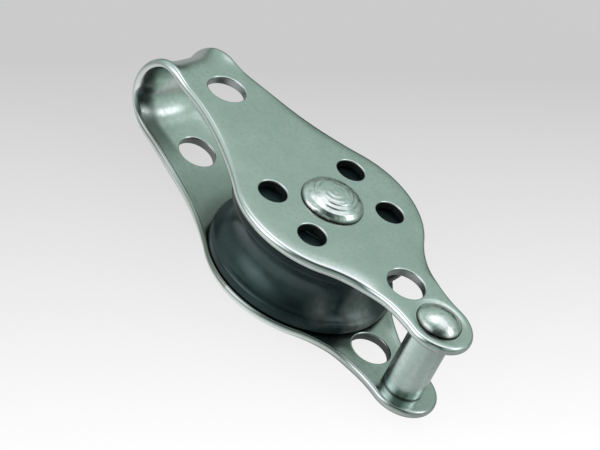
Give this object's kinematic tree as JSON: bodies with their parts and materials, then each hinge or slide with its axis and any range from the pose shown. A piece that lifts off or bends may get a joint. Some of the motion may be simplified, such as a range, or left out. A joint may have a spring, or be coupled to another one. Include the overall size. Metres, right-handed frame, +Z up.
{
  "type": "sailing block with becket",
  "caption": "Small rope block: a sheave riveted between the cheeks of one bent sheet-steel strap, with an eye at the head and a becket post at the foot.",
  "frame": {"origin": "on the axle, half way between the cheeks", "axes": "lying on its side: +X along the block from the axle to the becket post, -X to the head eye, +Z up along the axle, +Y across the block"},
  "size_m": [0.0589, 0.0256, 0.0162],
  "materials": {
    "strap_steel": "satin, tumbled stainless sheet with rounded bright edges",
    "sleeve_steel": "drawn stainless tube",
    "rivet_steel": "polished stainless",
    "black_plastic": "turned black plastic, half gloss"
  },
  "bodies": {
    "frame": {"frame_strap": "strap_steel", "axle_bush": "rivet_steel", "axle_rivet": "rivet_steel", "becket_sleeve": "sleeve_steel", "becket_rivet": "rivet_steel"},
    "wheel": {"sheave": "black_plastic"}
  },
  "joints": [
    {"name": "sheave_spin", "type": "hinge", "parent": "frame", "child": "wheel", "pos_m": [0, 0, 0], "axis": [0, 0, 1], "continuous": true}
  ]
}
